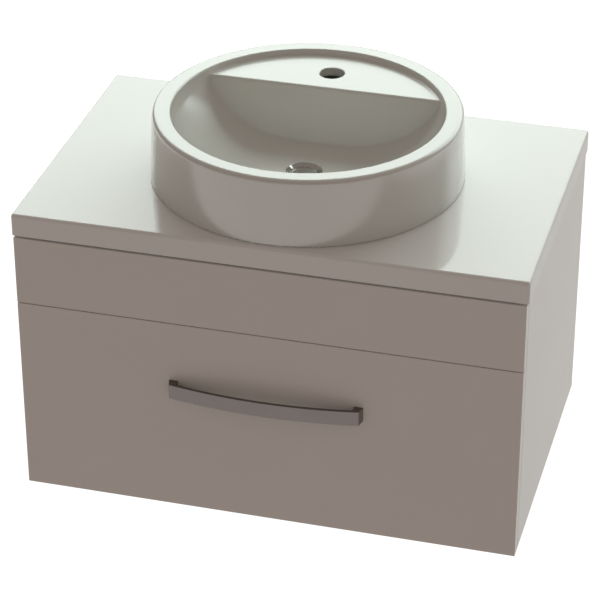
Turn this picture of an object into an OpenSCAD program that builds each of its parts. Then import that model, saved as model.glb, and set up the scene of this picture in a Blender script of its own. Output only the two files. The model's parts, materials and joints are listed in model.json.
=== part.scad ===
// Wall-hung vanity: one deep drawer under a fixed fascia, a thick worktop and a round vessel basin
// with a tap ledge, its waste and its bottle trap. Millimetres.
// X runs across, Y from the room (negative) to the wall (0), Z up. The origin is on the wall,
// midway between the two fixing holes of the hanging rail.

/* [Cabinet] */
// Width across the side panels
cab_w = 700; // [600:10:1000]
// Depth from the wall to the face of the drawer front
cab_d = 447; // [430:1:600]
// Height of the side panels
cab_h = 398; // [360:1:560]
// Thickness of the sides, base and rails
board_t = 16; // [15:1:19]
// Height of the two upright rails at the wall
rail_h = 80; // [70:1:110]
// Depth of the flat rail behind the fascia
front_rail_d = 80; // [60:1:120]
// Distance between the two fixing holes
fixing_spacing = 560; // [300:10:560]
// Radius of each fixing hole
fixing_r = 4; // [3:0.5:6]

/* [Fronts] */
// Thickness of the drawer front and the fascia
front_t = 18; // [16:1:22]
// Height of the fixed fascia
fascia_h = 100; // [80:1:130]
// Gap between the fascia and the drawer front
front_gap = 1.5; // [1.5:0.5:4]
// Gap between the fascia and the worktop
shadow_gap = 3; // [2:0.5:6]
// Gap between the carcass and the drawer front
buffer_gap = 1.5; // [1.5:0.5:3]

/* [Worktop] */
// Thickness of the worktop
worktop_t = 32; // [25:1:45]
// How far the worktop passes each side panel
worktop_over = 2.5; // [0:0.5:10]
// How far the worktop's front edge stands behind the drawer front
worktop_back = 0; // [0:0.5:10]
// Radius of the worktop's upright front corners
worktop_corner_r = 3; // [2:0.5:8]

/* [Basin] */
// Height of the basin
basin_h = 95.5; // [92:0.5:140]
// Outside radius at the foot
foot_r = 216; // [200:1:240]
// Outside radius at the rim
rim_r = 212; // [198:1:238]
// Inside radius at the rim
bowl_r = 188; // [160:0.5:190]
// Thickness of the basin's walls
glaze_wall = 11; // [8:0.5:14]
// Thickness of the basin's floor
floor_t = 11; // [9:0.5:14]
// Radius of the bowl's flat middle
flat_r = 60; // [50:1:80]
// Distance from the basin's centre to the wall
basin_from_wall = 224; // [220:1:300]
// How far the tap ledge lies below the rim
ledge_drop = 8; // [6:1:30]
// Thickness of the tap ledge
ledge_t = 13; // [10:1:20]
// Distance from the basin's centre back to the ledge's front edge
ledge_y = 82; // [75:1:100]
// Lean of the ledge's front wall, forward for each unit down
ledge_lean = 0.25; // [0:0.05:0.4]
// Distance from the basin's centre back to the tap hole
tap_y = 130; // [125:1:150]
// Radius of the tap hole
tap_r = 17.5; // [14:0.5:18]
// Distance from the basin's centre forward to the waste
waste_y = 20; // [0:1:30]

/* [Handle] */
// Distance between the two handle screws
handle_spacing = 256; // [128:32:384]
// Width of each foot of the handle
handle_foot = 9.4; // [8:0.2:16]
// Height of the handle's bar
handle_h = 22; // [14:1:30]
// Thickness of the handle's bar
handle_t = 5; // [4:0.5:8]
// How far the ends of the bar stand off the drawer front
handle_end = 13; // [10:1:25]
// How much further the middle of the bar stands off
handle_bow = 12.5; // [5:0.5:25]
// Height of the handle's centre above the cabinet's underside
handle_z = 194; // [150:1:230]

/* [Drawer] */
// Thickness of the drawer's sides and ends
drawer_t = 12; // [10:1:16]
// Height of the drawer's sides
drawer_h = 150; // [90:1:155]
// Length of the drawer's box
drawer_l = 394; // [350:1:395]
// Length of each runner
runner_l = 380; // [300:10:380]

/* [Waste] */
// Outside radius of the waste's threaded tail
tail_r = 20.9; // [18:0.1:21]
// Length of the waste, flange and tail together
tail_l = 85; // [80:1:100]
// Outside radius of the trap's pipes
pipe_r = 16; // [14:0.5:16]
// How far the outlet pipe's spigot passes the wall face
pipe_out = 30; // [10:1:60]
// Outside radius of the rosette at the wall
rosette_r = 28; // [24:1:28]

/* [Hidden] */
$fn = 96;

// Clearances
fit = 0.05;      // between a fixed pin and its hole
slip = 0.3;      // between pieces that are put together by hand
drain_slip = 1.1;  // between the waste's tail and the hole in the basin
over = 1;        // how far a cut runs past the face that it opens
kiss = 0.01;     // how far a rounding crosses the leaning face that it joins

// Levels from the underside up, and depths from the front back
z_top = rail_h / 2;
z_under = z_top - cab_h;
z_floor = z_under + board_t;
z_fascia = z_top - shadow_gap - fascia_h;
z_worktop = z_top + worktop_t;
y_face = -cab_d;
y_inner = y_face + front_t;
y_carcass = y_inner + buffer_gap;
x_side = cab_w / 2;
x_inside = x_side - board_t;

// Basin, waste and trap levels
seal_t = 1;
z_foot = z_worktop + seal_t;
z_bowl = z_foot + floor_t;
basin_y = -basin_from_wall;
drain_y = basin_y - waste_y;
ledge_z = basin_h - ledge_drop;
lean_length = sqrt(1 + pow(ledge_lean, 2));
arc_run = bowl_r - flat_r;
arc_top = ledge_z + 1;
arc_drop = arc_top - floor_t;
arc_r = (pow(arc_run, 2) + pow(arc_drop, 2)) / (2 * arc_drop);
pad_r = 90;
rim_out_r = 6;
rim_in_r = 3;
ledge_edge_r = 4;
flange_r = 24;
flange_h = 5.6;
flange_seal_t = 0.9;
flange_pocket = flange_h + flange_seal_t;
throat_r = 17.9;
z_tail = z_bowl - tail_l;
outlet_drop = 69;
z_outlet = z_tail - outlet_drop;
worktop_waste_r = 27;
worktop_tap_r = 24;

// Runners, across the gap between the side panel and the drawer
runner_gap = 12.7;
runner_h = 45;
runner_wall = 1.2;
runner_step = 2;
runner_front = 3;
drawer_lift = 12;
runner_lift = 40;
x_drawer = x_inside - runner_gap;
z_drawer = z_floor + drawer_lift;
z_runner = z_drawer + runner_lift;
groove_z = 8;
groove_deep = 5;
bottom_t = 6;
screw_r = 2;
head_r = 3.8;
bite = 12;       // how far a screw goes into a board that it doesn't pass through

// Joint places: y and z of each bolt. A flat board's cam opens up where the third value is 1, and down
// where it is -1. An upright rail's cams open forward.
flat_joints = [[y_carcass + 57, z_under + board_t / 2, 1], [-60, z_under + board_t / 2, 1],
    [y_carcass + 25, z_top - board_t / 2, -1]];
upright_joints = [[-board_t / 2, z_top - 24], [-board_t / 2, z_floor + 24]];
cam_r = 7.5;
cam_depth = 12.5;
cam_inset = 24;
bolt_r = 3.5;
bolt_hold = 11;
dowel_r = 4;
dowel_half = 12;
dowel_step = 32;

module block(low, high) {
    translate(low) cube(high - low);
}

module along_x(r, l) {
    rotate([0, 90, 0]) cylinder(r = r, h = l);
}

module along_y(r, l) {
    rotate([-90, 0, 0]) cylinder(r = r, h = l);
}

module left() {
    mirror([1, 0, 0]) children();
}

module both() {
    children();
    left() children();
}

// A ring, or a tube, standing on z = 0
module ring(outer, inner, h) {
    difference() {
        cylinder(r = outer, h = h);
        translate([0, 0, -over]) cylinder(r = inner, h = h + 2 * over);
    }
}

// ---- carcass joints ----
module dowel_places() {
    for (j = flat_joints) translate([x_inside, j[0] + dowel_step, j[1]]) children();
    for (j = upright_joints) translate([x_inside, j[0], j[1] - dowel_step]) children();
}

module bolt_places() {
    for (j = concat(flat_joints, upright_joints)) translate([x_inside, j[0], j[1]]) children();
}

module cam_shapes(grow) {
    for (j = flat_joints)
        translate([x_inside - cam_inset, j[0], j[1] + j[2] * (board_t / 2 - cam_depth / 2)])
            cylinder(r = cam_r + grow, h = cam_depth + 2 * grow, center = true);
    for (j = upright_joints)
        translate([x_inside - cam_inset, j[0] - board_t / 2 + cam_depth / 2, j[1]])
            rotate([90, 0, 0]) cylinder(r = cam_r + grow, h = cam_depth + 2 * grow, center = true);
}

module bolt_shape(grow) {
    translate([-cam_inset - grow, 0, 0]) along_x(bolt_r + grow, cam_inset + bolt_hold + 2 * grow);
}

module dowel_shape(grow) {
    translate([-dowel_half - grow, 0, 0]) along_x(dowel_r + grow, 2 * (dowel_half + grow));
}

// Everything that the carcass pieces are bored for, on both sides
module carcass_bores() {
    both() {
        cam_shapes(fit);
        bolt_places() bolt_shape(fit);
        dowel_places() dowel_shape(fit);
    }
}

module cam_locks() {
    color("silver") both() difference() {
        cam_shapes(0);
        bolt_places() bolt_shape(fit);
    }
}

module cam_bolts() {
    color("gainsboro") both() bolt_places() bolt_shape(0);
}

module dowels() {
    color("burlywood") both() dowel_places() dowel_shape(0);
}

// ---- carcass ----
module side_panel() {
    difference() {
        block([x_inside, y_carcass, z_under], [x_side, 0, z_top]);
        carcass_bores();
        runner_screw_places() translate([-over, 0, 0]) along_x(screw_r + fit, over + bite + fit);
        bracket_side_places() translate([-over, 0, 0]) along_x(screw_r + fit, over + bite + fit);
    }
}

module side_right() {
    color("white") side_panel();
}

module side_left() {
    color("white") left() side_panel();
}

module base_panel() {
    color("white") difference() {
        block([-x_inside, y_carcass, z_under], [x_inside, 0, z_floor]);
        carcass_bores();
    }
}

module hanging_rail() {
    color("white") difference() {
        block([-x_inside, -board_t, z_top - rail_h], [x_inside, 0, z_top]);
        carcass_bores();
        both() translate([fixing_spacing / 2, -board_t - over, 0]) along_y(fixing_r, board_t + 2 * over);
    }
}

module lower_rail() {
    color("white") difference() {
        block([-x_inside, -board_t, z_floor], [x_inside, 0, z_floor + rail_h]);
        carcass_bores();
    }
}

module front_rail() {
    color("white") difference() {
        block([-x_inside, y_carcass, z_top - board_t], [x_inside, y_carcass + front_rail_d, z_top]);
        carcass_bores();
        worktop_screw_places() translate([0, 0, -over])
            cylinder(r = screw_r + slip, h = board_t + 2 * over);
    }
}

module fascia() {
    color("white") difference() {
        block([-x_side, y_face, z_fascia], [x_side, y_inner, z_fascia + fascia_h]);
        both() bracket_front_places() translate([0, -bite - fit, 0])
            along_y(screw_r + fit, bite + fit + over);
    }
}

// ---- fascia brackets ----
bracket_leg = 34;
bracket_h = 40;
bracket_t = 2;
z_bracket = z_fascia + 20;

module bracket_side_places() {
    for (z = [10, 30]) translate([x_inside, y_inner + 22, z_bracket + z]) children();
}

module bracket_front_places() {
    for (z = [10, 30]) translate([x_inside - 22, y_inner, z_bracket + z]) children();
}

module fascia_brackets() {
    color("silver") both() difference() {
        block([x_inside - bracket_leg, y_inner, z_bracket],
            [x_inside, y_inner + bracket_leg, z_bracket + bracket_h]);
        block([x_inside - bracket_leg - over, y_inner + bracket_t, z_bracket - over],
            [x_inside - bracket_t, y_inner + bracket_leg + over, z_bracket + bracket_h + over]);
        bracket_side_places() translate([-bracket_t - over, 0, 0])
            along_x(screw_r + slip, bracket_t + 2 * over);
        bracket_front_places() translate([0, -over, 0]) along_y(screw_r + slip, bracket_t + 2 * over);
    }
}

// A pan-head screw: its head stands below z = 0 and its shank runs up
module screw(l, head_h = 2) {
    cylinder(r = screw_r, h = l);
    translate([0, 0, -head_h]) cylinder(r = head_r, h = head_h);
}

module bracket_screws() {
    color("silver") both() {
        bracket_side_places() translate([-bracket_t, 0, 0]) rotate([0, 90, 0]) screw(bite + bracket_t);
        bracket_front_places() translate([0, bracket_t, 0]) rotate([90, 0, 0]) screw(bite + bracket_t);
    }
}

// ---- worktop ----
worktop_screw_reach = 20;

module worktop_screw_places() {
    for (x = [-0.6, 0.6])
        translate([x * x_inside, y_carcass + front_rail_d / 2, z_top - board_t]) children();
}

module worktop() {
    w = x_side + worktop_over;
    y = y_face + worktop_back;
    r = worktop_corner_r;
    color("white") difference() {
        translate([0, 0, z_top]) linear_extrude(worktop_t) {
            translate([-w, y + r]) square([2 * w, -y - r]);
            translate([-w + r, y]) square([2 * (w - r), r + over]);
            for (x = [-w + r, w - r]) translate([x, y + r]) circle(r);
        }
        translate([0, drain_y, z_top - over]) cylinder(r = worktop_waste_r, h = worktop_t + 2 * over);
        translate([0, basin_y + tap_y, z_top - over]) cylinder(r = worktop_tap_r, h = worktop_t + 2 * over);
        worktop_screw_places() cylinder(r = screw_r + fit, h = board_t + worktop_screw_reach + fit);
    }
}

module worktop_screws() {
    color("silver") worktop_screw_places() screw(board_t + worktop_screw_reach);
}

// ---- runners: three nested channels on each side ----
// A channel with its web on x = 0, open towards -x
module channel(h, w) {
    difference() {
        block([-w, 0, -h / 2], [0, runner_l, h / 2]);
        block([-w - over, -over, -h / 2 + runner_wall],
            [-runner_wall, runner_l + over, h / 2 - runner_wall]);
    }
}

module at_runner(x) {
    translate([x, y_carcass + runner_front, z_runner]) children();
}

module runner_screw_places() {
    for (y = [30, runner_l / 2, runner_l - 30]) at_runner(x_inside) translate([0, y, 0]) children();
}

module runner_outer() {
    difference() {
        at_runner(x_inside) channel(runner_h, 9.5);
        runner_screw_places() translate([-over - runner_wall, 0, 0])
            along_x(screw_r + fit, runner_wall + 2 * over);
    }
}

module runner_middle() {
    at_runner(x_inside - runner_wall - 1.5) channel(runner_h - 2 * (runner_wall + runner_step), 7.5);
}

module runner_inner() {
    h = runner_h - 4 * (runner_wall + runner_step);
    difference() {
        at_runner(x_drawer) mirror([1, 0, 0]) channel(h, 7);
        inner_screw_places() translate([-over, 0, 0]) along_x(screw_r + fit, runner_wall + 2 * over);
    }
}

module inner_screw_places() {
    for (y = [45, runner_l - 60]) at_runner(x_drawer) translate([0, y, 0]) children();
}

module runner_outer_right() {
    color("silver") runner_outer();
}

module runner_outer_left() {
    color("silver") left() runner_outer();
}

module runner_middle_right() {
    color("gainsboro") runner_middle();
}

module runner_middle_left() {
    color("gainsboro") left() runner_middle();
}

module runner_inner_right() {
    color("silver") runner_inner();
}

module runner_inner_left() {
    color("silver") left() runner_inner();
}

module runner_outer_screws() {
    color("silver") both() runner_screw_places() translate([-runner_wall, 0, 0]) rotate([0, 90, 0])
        screw(bite + runner_wall, 0.8);
}

module runner_inner_screws() {
    color("silver") both() inner_screw_places() translate([runner_wall, 0, 0]) rotate([0, -90, 0])
        screw(drawer_t - 2 + runner_wall, 1.2);
}

// ---- drawer ----
y_box = y_inner + drawer_l;
x_box = x_drawer - drawer_t;
z_box = z_drawer + drawer_h;
handle_screw_l = front_t + 8;

module bottom_groove(grow) {
    block([-x_box - groove_deep - grow, y_inner + drawer_t - groove_deep - grow, z_drawer + groove_z - grow],
        [x_box + groove_deep + grow, y_box - drawer_t + groove_deep + grow,
            z_drawer + groove_z + bottom_t + grow]);
}

module drawer_side() {
    difference() {
        block([x_box, y_inner, z_drawer], [x_drawer, y_box, z_box]);
        bottom_groove(fit);
        inner_screw_places() translate([-drawer_t + 2 - fit, 0, 0])
            along_x(screw_r + fit, drawer_t + over);
    }
}

module drawer_side_right() {
    color("white") drawer_side();
}

module drawer_side_left() {
    color("white") left() drawer_side();
}

module drawer_subfront() {
    color("white") difference() {
        block([-x_box, y_inner, z_drawer], [x_box, y_inner + drawer_t, z_box]);
        bottom_groove(fit);
        front_screw_places() translate([0, -over, 0]) along_y(screw_r + slip, drawer_t + 2 * over);
    }
}

module drawer_back() {
    color("white") difference() {
        block([-x_box, y_box - drawer_t, z_drawer], [x_box, y_box, z_box]);
        bottom_groove(fit);
    }
}

module drawer_bottom() {
    color("white") bottom_groove(0);
}

module front_screw_places() {
    for (x = [-0.8, 0.8], z = [30, drawer_h - 25])
        translate([x * x_box, y_inner, z_drawer + z]) children();
}

module front_screws() {
    color("silver") front_screw_places() translate([0, drawer_t, 0]) rotate([90, 0, 0])
        screw(drawer_t + bite);
}

module handle_screw_places() {
    for (x = [-1, 1]) translate([x * handle_spacing / 2, y_inner, z_under + handle_z]) children();
}

module drawer_front() {
    color("white") difference() {
        block([-x_side, y_face, z_under], [x_side, y_inner, z_fascia - front_gap]);
        front_screw_places() translate([0, -bite - fit, 0]) along_y(screw_r + fit, bite + fit + over);
        handle_screw_places() translate([0, -front_t - over, 0]) along_y(screw_r + slip, front_t + 2 * over);
    }
}

module bumpers() {
    color("lightgrey") both() translate([x_side - board_t / 2, y_inner, z_fascia - front_gap - 14])
        along_y(5, buffer_gap - slip);
}

// ---- handle: a bowed flat bar whose ends turn back to the drawer front ----
module handle() {
    half = (handle_spacing + handle_foot) / 2;
    flare = 3.5;
    bow_r = (pow(half, 2) + pow(handle_bow, 2)) / (2 * handle_bow);
    bow_y = bow_r - handle_end - handle_bow;
    clear = half - handle_foot;
    color("silver") difference() {
        translate([0, y_face, z_under + handle_z - handle_h / 2]) linear_extrude(handle_h) difference() {
            intersection() {
                translate([0, bow_y]) circle(bow_r, $fn = 360);
                polygon([[-half - flare, 0], [half + flare, 0], [half, -handle_end],
                    [half, -handle_end - handle_bow],
                    [-half, -handle_end - handle_bow], [-half, -handle_end]]);
            }
            intersection() {
                translate([0, bow_y]) circle(bow_r - handle_t, $fn = 360);
                translate([-clear, -handle_end - handle_bow])
                    square([2 * clear, handle_end + handle_bow + over]);
            }
        }
        handle_screw_places() translate([0, -handle_screw_l - fit, 0]) along_y(screw_r + fit, handle_screw_l);
    }
}

module handle_screws() {
    color("silver") handle_screw_places() rotate([90, 0, 0]) screw(handle_screw_l);
}

// ---- basin, in its own frame: z = 0 at the foot, the centre of the bowl on the Z axis ----
// The outside radius at height z
function wall_r(z) = foot_r - (foot_r - rim_r) * z / basin_h;

// Outside, with a rounded outer rim
module basin_outline() {
    lean = atan((foot_r - rim_r) / basin_h);
    c = [wall_r(basin_h - rim_out_r) - rim_out_r / cos(lean) + kiss, basin_h - rim_out_r];
    joint_z = c[1] + rim_out_r * sin(lean);
    polygon([[0, 0], [foot_r, 0], [wall_r(joint_z), joint_z], c, [c[0], basin_h], [0, basin_h]]);
    translate(c) circle(rim_out_r);
}

// The bowl: a flat middle, one arc up to the ledge's level, an upright wall and a rounded inner rim
module bowl_outline() {
    translate([0, floor_t]) square([flat_r, basin_h]);
    intersection() {
        translate([flat_r, floor_t + arc_r]) circle(arc_r);
        square([bowl_r, arc_top]);
    }
    translate([0, arc_top]) square([bowl_r, basin_h]);
    difference() {
        translate([bowl_r - over, basin_h - rim_in_r]) square([rim_in_r + over, rim_in_r + over]);
        translate([bowl_r + rim_in_r, basin_h - rim_in_r]) circle(rim_in_r);
    }
}

// The leaning front wall of the ledge, seen from the side: its y at height z
function ledge_face(z) = ledge_y - ledge_lean * (ledge_z - z);

// Draws across the basin what its children show from the side
module across() {
    rotate([90, 0, 90]) linear_extrude(2 * foot_r, center = true) children();
}

// Everything in front of the ledge's wall and above the ledge, with the ledge's front edge rounded
module before_ledge() {
    c = [ledge_face(ledge_z - ledge_edge_r) + ledge_edge_r * lean_length - kiss, ledge_z - ledge_edge_r];
    t = c - ledge_edge_r / lean_length * [1, -ledge_lean];
    top = basin_h + over;
    difference() {
        polygon([[-foot_r, -over], [ledge_face(-over), -over], [ledge_face(t[1]), t[1]], c, [c[0], ledge_z],
            [foot_r, ledge_z], [foot_r, top], [-foot_r, top]]);
        translate(c) circle(ledge_edge_r);
    }
}

// The space for the water, and the step above the ledge
module basin_cavity() {
    intersection() {
        rotate_extrude() bowl_outline();
        across() before_ledge();
    }
}

// The hollow around the bowl's shell and under the ledge, open underneath
module basin_hollow() {
    top = ledge_z - ledge_t;
    back = glaze_wall * lean_length;
    difference() {
        rotate_extrude() polygon([[0, -over], [wall_r(-over) - glaze_wall, -over],
            [wall_r(top) - glaze_wall, top], [0, top]]);
        intersection() {
            rotate_extrude() {
                translate([0, -2 * over]) square([pad_r, top + 3 * over]);
                intersection() {
                    translate([flat_r, floor_t + arc_r]) circle(arc_r + glaze_wall);
                    square([foot_r, top + over]);
                }
            }
            across() polygon([[-foot_r, -2 * over], [ledge_face(-2 * over) + back, -2 * over],
                [ledge_face(top + over) + back, top + over], [-foot_r, top + over]]);
        }
    }
}

module basin() {
    color("whitesmoke") translate([0, basin_y, z_foot]) difference() {
        rotate_extrude() basin_outline();
        basin_cavity();
        basin_hollow();
        translate([0, tap_y, 0]) cylinder(r = tap_r, h = basin_h);
        translate([0, -waste_y, -over]) cylinder(r = tail_r + drain_slip, h = basin_h);
        translate([0, -waste_y, floor_t - flange_pocket]) cylinder(r = flange_r + slip, h = basin_h);
    }
}

module basin_seal() {
    color("gainsboro") translate([0, basin_y, z_worktop]) ring(foot_r - 2, foot_r - glaze_wall + 1, seal_t);
}

// ---- waste ----
stem_r = 3;
web_h = 6;
z_web = z_bowl - 40;

module waste_body() {
    color("silver") translate([0, drain_y, 0]) {
        difference() {
            union() {
                translate([0, 0, z_bowl - flange_h]) cylinder(r = flange_r, h = flange_h);
                translate([0, 0, z_tail]) cylinder(r = tail_r, h = tail_l - over);
            }
            translate([0, 0, z_tail - over]) cylinder(r = throat_r, h = tail_l + 2 * over);
            rotate_extrude() polygon([[0, z_bowl - flange_h + over], [throat_r, z_bowl - flange_h + over],
                [flange_r - 1, z_bowl], [flange_r - 1, z_bowl + over], [0, z_bowl + over]]);
        }
        translate([0, 0, z_web]) difference() {
            union() {
                cylinder(r = stem_r + 3, h = web_h);
                for (a = [90, 210, 330])
                    rotate([0, 0, a]) translate([0, -1, 0]) cube([throat_r + 1, 2, web_h]);
            }
            translate([0, 0, -over]) cylinder(r = stem_r + fit, h = web_h + 2 * over);
        }
    }
}

module waste_seal() {
    color("dimgrey") translate([0, drain_y, z_bowl - flange_pocket])
        ring(flange_r, tail_r + slip, flange_seal_t);
}

washer_t = 3;
nut_t = 10;

module waste_washer() {
    color("dimgrey") translate([0, drain_y, z_top - washer_t])
        ring(worktop_waste_r + 9, tail_r + slip, washer_t);
}

module waste_nut() {
    color("silver") translate([0, drain_y, z_top - washer_t - nut_t]) difference() {
        cylinder(r = worktop_waste_r + 6, h = nut_t, $fn = 6);
        translate([0, 0, -over]) cylinder(r = tail_r + fit, h = nut_t + 2 * over);
    }
}

// ---- plug ----
cap_h = 3;
z_cap = z_bowl - flange_h - 2;

module plug_cap() {
    dome = 1.2;
    cap_r = throat_r - slip;
    dome_r = (pow(cap_r, 2) + pow(dome, 2)) / (2 * dome);
    color("silver") translate([0, drain_y, z_cap]) rotate_extrude() {
        square([cap_r, cap_h]);
        intersection() {
            translate([0, cap_h + dome - dome_r]) circle(dome_r, $fn = 360);
            translate([0, cap_h - over]) square([cap_r, dome + 2 * over]);
        }
    }
}

module plug_seal() {
    color("dimgrey") translate([0, drain_y, z_cap - 2]) ring(throat_r - slip - 1, stem_r + fit, 2);
}

module plug_stem() {
    color("silver") translate([0, drain_y, z_web - 14]) {
        cylinder(r = stem_r, h = z_cap - z_web + 14);
        cylinder(r = stem_r + 2, h = 3);
    }
}

// ---- bottle trap, hung from the waste's tail ----
trap_r = 32;
trap_wall = 3;
pipe_wall = 1.5;
spigot_step = 0.3;
rosette_t = 9;
seat = 2;
z_collar = z_outlet + 40;
z_body = z_outlet - 30;
z_cup = z_outlet - 80;
stub_l = 62;

module trap_inlet_seal() {
    color("dimgrey") translate([0, drain_y, z_tail - seat]) ring(tail_r - slip, throat_r, seat);
}

module trap_inlet_nut() {
    color("silver") translate([0, drain_y, 0]) difference() {
        translate([0, 0, z_tail - 2 * seat - 4]) cylinder(r = tail_r + 5, h = 24);
        translate([0, 0, z_tail - 2 * seat]) cylinder(r = tail_r + fit, h = 24);
        translate([0, 0, z_tail - 2 * seat - 4 - over]) cylinder(r = pipe_r + slip, h = 24);
    }
}

module trap_dip_tube() {
    low = z_cup + 16;
    color("silver") translate([0, drain_y, 0]) difference() {
        union() {
            translate([0, 0, low]) cylinder(r = pipe_r, h = z_tail - seat - low);
            translate([0, 0, z_tail - 2 * seat]) cylinder(r = tail_r - slip, h = seat);
        }
        translate([0, 0, low - over]) cylinder(r = pipe_r - pipe_wall, h = z_tail - low + over);
    }
}

module trap_collar_nut() {
    color("silver") translate([0, drain_y, z_collar - 12]) difference() {
        cylinder(r = pipe_r + 9, h = 16);
        translate([0, 0, -over]) cylinder(r = pipe_r + 5 + fit, h = 12 + over);
        cylinder(r = pipe_r + slip, h = 16 + over);
    }
}

module trap_body() {
    shoulder = z_collar - 15;
    color("silver") translate([0, drain_y, 0]) difference() {
        union() {
            rotate_extrude() polygon([[0, z_body - 10], [trap_r - 2, z_body - 10], [trap_r - 2, z_body],
                [trap_r, z_body], [trap_r, shoulder - 8], [pipe_r + 5, shoulder], [pipe_r + 5, z_collar],
                [0, z_collar]]);
            translate([0, 0, z_outlet]) along_y(pipe_r + 4, stub_l);
        }
        rotate_extrude() polygon([[0, z_body - 10 - over], [trap_r - 2 - trap_wall, z_body - 10 - over],
            [trap_r - 2 - trap_wall, shoulder - 9], [pipe_r + slip, shoulder - 4],
            [pipe_r + slip, z_collar + over], [0, z_collar + over]]);
        translate([0, 0, z_outlet]) along_y(pipe_r + fit, stub_l + over);
    }
}

module trap_cup() {
    inner = trap_r - 2 + fit;
    bottom_r = 10;
    height = z_body - z_cup;
    color("silver") translate([0, drain_y, z_cup]) difference() {
        rotate_extrude() {
            translate([0, bottom_r]) square([trap_r + 2, height - bottom_r]);
            square([trap_r + 2 - bottom_r, bottom_r + over]);
            translate([trap_r + 2 - bottom_r, bottom_r]) circle(bottom_r);
        }
        translate([0, 0, 5]) cylinder(r = inner - trap_wall, h = height);
        translate([0, 0, height - 10 - fit]) cylinder(r = inner, h = height);
    }
}

// The pipe's spigot, behind the wall face, is a little slimmer to enter the seal of the drain
module outlet_pipe() {
    start = 36;
    l = -drain_y - start;
    color("silver") translate([0, drain_y + start, z_outlet]) difference() {
        union() {
            along_y(pipe_r, l);
            along_y(pipe_r - spigot_step, l + pipe_out);
        }
        translate([0, -over, 0]) along_y(pipe_r - pipe_wall, l + pipe_out + 2 * over);
    }
}

module trap_outlet_nut() {
    color("silver") translate([0, drain_y + stub_l - 12, z_outlet]) rotate([-90, 0, 0]) difference() {
        cylinder(r = pipe_r + 8, h = 16);
        translate([0, 0, -over]) cylinder(r = pipe_r + 4 + fit, h = 12 + over);
        cylinder(r = pipe_r + slip, h = 16 + over);
    }
}

module wall_rosette() {
    color("silver") translate([0, 0, z_outlet]) rotate([90, 0, 0]) difference() {
        rotate_extrude() polygon([[0, 0], [rosette_r, 0], [rosette_r, 1.5], [pipe_r + 4, rosette_t],
            [0, rosette_t]]);
        translate([0, 0, -over]) cylinder(r = pipe_r + slip, h = rosette_t + 2 * over);
    }
}

side_left();
side_right();
base_panel();
hanging_rail();
lower_rail();
front_rail();
fascia();
fascia_brackets();
bracket_screws();
cam_locks();
cam_bolts();
dowels();
worktop();
worktop_screws();
runner_outer_left();
runner_outer_right();
runner_outer_screws();
basin();
basin_seal();
waste_body();
waste_seal();
waste_washer();
waste_nut();
trap_inlet_nut();
trap_inlet_seal();
trap_dip_tube();
trap_collar_nut();
trap_body();
trap_cup();
trap_outlet_nut();
outlet_pipe();
wall_rosette();
drawer_front();
drawer_subfront();
drawer_side_left();
drawer_side_right();
drawer_back();
drawer_bottom();
front_screws();
handle();
handle_screws();
bumpers();
runner_inner_left();
runner_inner_right();
runner_inner_screws();
runner_middle_left();
runner_middle_right();
plug_cap();
plug_seal();
plug_stem();
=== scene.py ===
# %% [markdown]
# # A wall-hung vanity with a round vessel basin
# The object is a white cabinet that hangs on a wall. One deep drawer with a bowed steel handle lies under
# a fixed fascia, and a thick glossy worktop carries a round ceramic basin with a ledge for a tap. Behind
# the drawer hang the basin's waste and its bottle trap.
#
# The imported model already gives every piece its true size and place, and it says how the drawer, the
# runners and the waste's plug move. So this lesson only gives those pieces their looks: soft edges where a
# real maker softens them, rounded ceramic, screw recesses, knurling and threads, and a finish for each
# material. Every length is in metres, X runs across, Y runs back to the wall at 0, and Z runs up.

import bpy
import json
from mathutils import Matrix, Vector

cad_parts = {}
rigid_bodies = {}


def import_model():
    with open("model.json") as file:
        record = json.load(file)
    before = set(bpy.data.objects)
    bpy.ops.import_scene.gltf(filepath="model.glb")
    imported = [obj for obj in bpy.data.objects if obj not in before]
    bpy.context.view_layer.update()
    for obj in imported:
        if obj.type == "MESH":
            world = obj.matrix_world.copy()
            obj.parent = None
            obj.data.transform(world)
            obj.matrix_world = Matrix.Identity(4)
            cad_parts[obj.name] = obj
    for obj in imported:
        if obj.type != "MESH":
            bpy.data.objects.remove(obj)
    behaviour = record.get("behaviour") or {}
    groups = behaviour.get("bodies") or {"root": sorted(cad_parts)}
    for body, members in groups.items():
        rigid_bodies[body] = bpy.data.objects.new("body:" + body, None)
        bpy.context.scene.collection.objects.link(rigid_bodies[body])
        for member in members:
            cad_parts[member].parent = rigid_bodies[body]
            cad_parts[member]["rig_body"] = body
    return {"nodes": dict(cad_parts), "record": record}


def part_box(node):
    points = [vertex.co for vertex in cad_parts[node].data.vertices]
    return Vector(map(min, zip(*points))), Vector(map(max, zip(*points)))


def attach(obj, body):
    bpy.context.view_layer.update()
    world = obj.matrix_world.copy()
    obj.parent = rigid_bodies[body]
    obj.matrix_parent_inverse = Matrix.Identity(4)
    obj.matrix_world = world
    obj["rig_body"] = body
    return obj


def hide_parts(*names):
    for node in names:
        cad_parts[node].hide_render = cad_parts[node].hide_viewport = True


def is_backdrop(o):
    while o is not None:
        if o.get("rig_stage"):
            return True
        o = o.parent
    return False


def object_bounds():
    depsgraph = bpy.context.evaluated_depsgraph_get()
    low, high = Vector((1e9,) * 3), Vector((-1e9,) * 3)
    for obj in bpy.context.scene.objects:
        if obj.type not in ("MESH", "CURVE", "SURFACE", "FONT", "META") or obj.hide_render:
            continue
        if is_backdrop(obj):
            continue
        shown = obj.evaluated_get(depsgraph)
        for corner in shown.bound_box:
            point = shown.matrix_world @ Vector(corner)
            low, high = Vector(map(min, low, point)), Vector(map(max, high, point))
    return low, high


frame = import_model()
cad_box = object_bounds()

# %% Tools of the lesson
import json
import math

import bmesh
import bpy
import numpy as np
from mathutils import Matrix, Vector

MM = 0.001
slot_of = {part["node"]: part["material_slot"] for part in frame["record"]["subparts"]}
print("finishes wanted:", sorted(set(slot_of.values())))

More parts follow.
